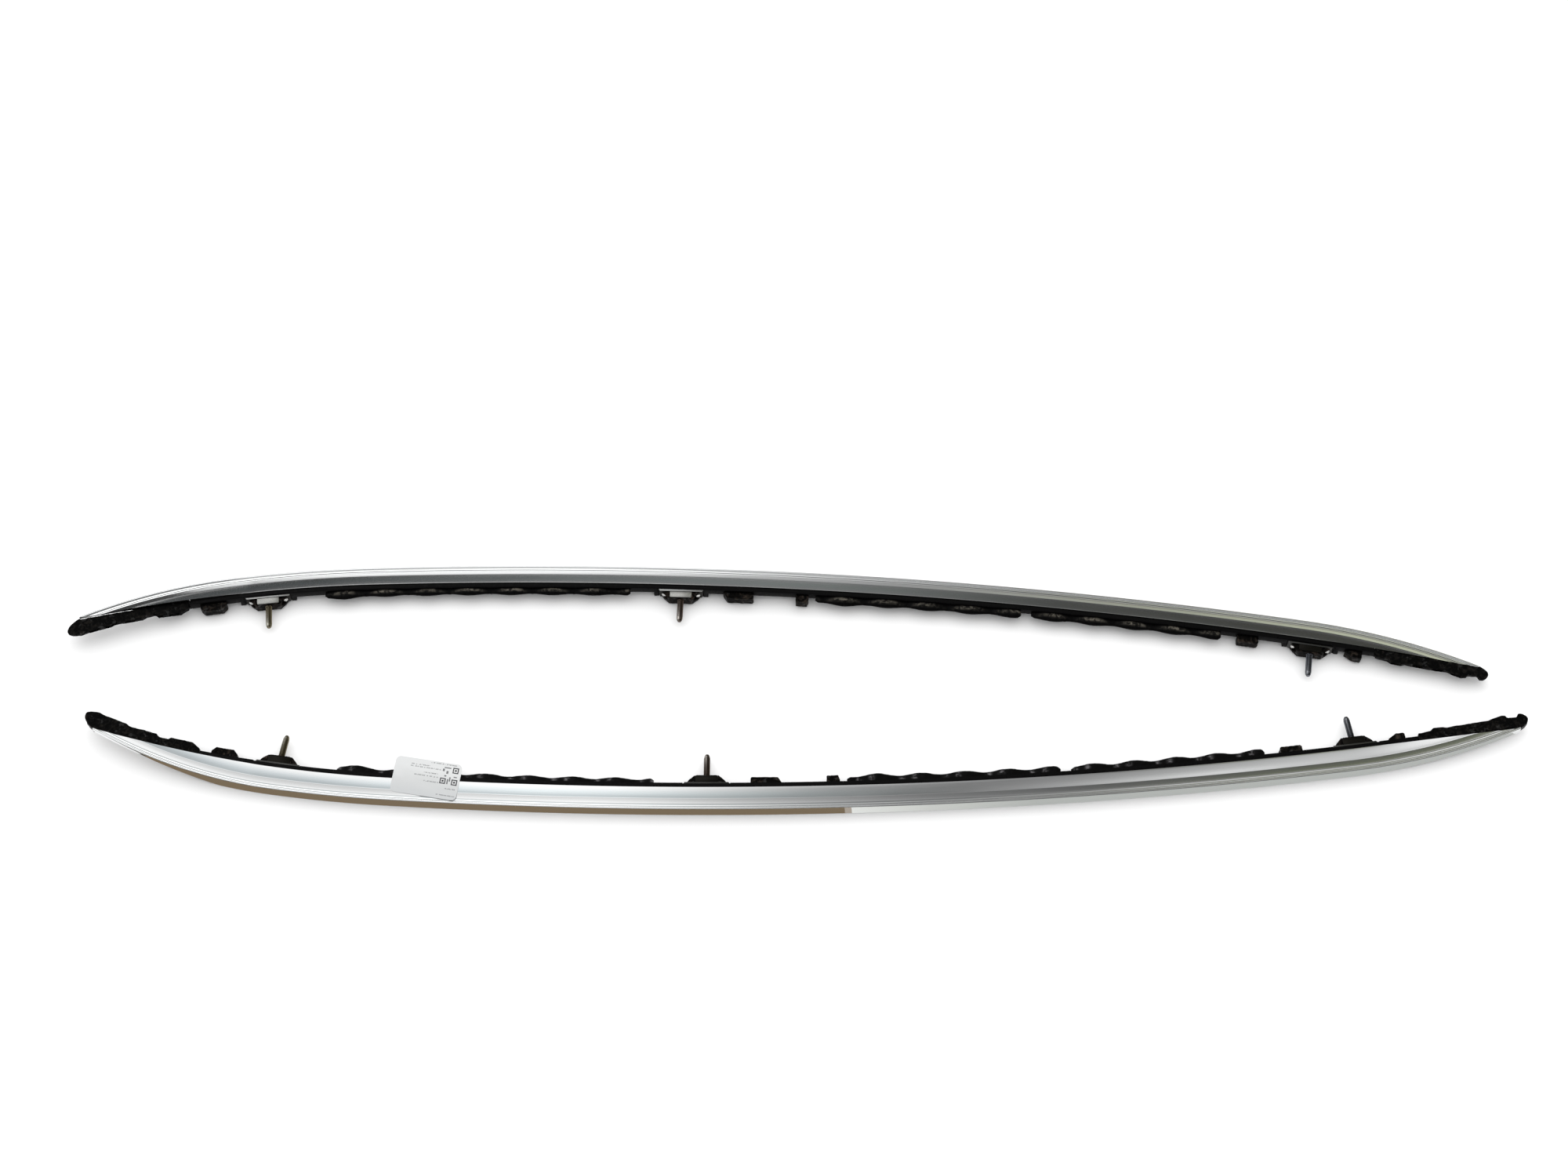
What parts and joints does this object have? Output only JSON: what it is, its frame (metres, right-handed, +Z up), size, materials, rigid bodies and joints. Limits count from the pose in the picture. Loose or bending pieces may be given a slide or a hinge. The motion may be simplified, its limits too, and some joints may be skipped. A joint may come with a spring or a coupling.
{
  "type": "roof side rail pair",
  "caption": "Flush side rails for a vehicle roof: curved channel profiles with tapering crowns, ribbed base mouldings, end caps, foam pads and bolt-down feet, lying on their inner sides.",
  "frame": {"origin": "middle of the pair's bounding box, at the level of the surface that the rails' inner sides lie on", "axes": "+X along the rails from their front ends to their rear ends, +Y across from the right rail to the left rail, both rails' studs between them, +Z up, out of the rails' outer faces"},
  "size_m": [1.8408, 0.3513, 0.027],
  "materials": {
    "bright_metal": "bright anodised, drawn along the length",
    "moulding_plastic": "black with a soft sheen",
    "cap_plastic": "black, rubbery",
    "plate_steel": "bright pressed steel",
    "block_steel": "bright, cast and machined",
    "stud_steel": "yellow passivated",
    "screw_steel": "bright plated",
    "backing_steel": "plain",
    "seal_foam": "closed cell, dark brown",
    "pad_foam": "closed cell, dark brown",
    "label_paper": "matt white paper"
  },
  "bodies": {
    "root": {"left_rail_profile": "bright_metal", "left_base_moulding": "moulding_plastic", "left_front_cap": "cap_plastic", "left_rear_cap": "cap_plastic", "left_front_plate": "plate_steel", "left_middle_plate": "plate_steel", "left_rear_plate": "plate_steel", "left_front_block": "block_steel", "left_middle_block": "block_steel", "left_rear_block": "block_steel", "left_front_stud": "stud_steel", "left_middle_stud": "stud_steel", "left_rear_stud": "stud_steel", "left_front_seal": "seal_foam", "left_middle_seal": "seal_foam", "left_rear_seal": "seal_foam", "left_front_backing": "backing_steel", "left_middle_backing": "backing_steel", "left_rear_backing": "backing_steel", "left_foot_screws": "screw_steel", "left_foam_pads": "pad_foam", "right_rail_profile": "bright_metal", "right_base_moulding": "moulding_plastic", "right_front_cap": "cap_plastic", "right_rear_cap": "cap_plastic", "right_front_plate": "plate_steel", "right_middle_plate": "plate_steel", "right_rear_plate": "plate_steel", "right_front_block": "block_steel", "right_middle_block": "block_steel", "right_rear_block": "block_steel", "right_front_stud": "stud_steel", "right_middle_stud": "stud_steel", "right_rear_stud": "stud_steel", "right_front_seal": "seal_foam", "right_middle_seal": "seal_foam", "right_rear_seal": "seal_foam", "right_front_backing": "backing_steel", "right_middle_backing": "backing_steel", "right_rear_backing": "backing_steel", "right_foot_screws": "screw_steel", "right_foam_pads": "pad_foam", "right_paper_label": "label_paper"}
  },
  "joints": []
}
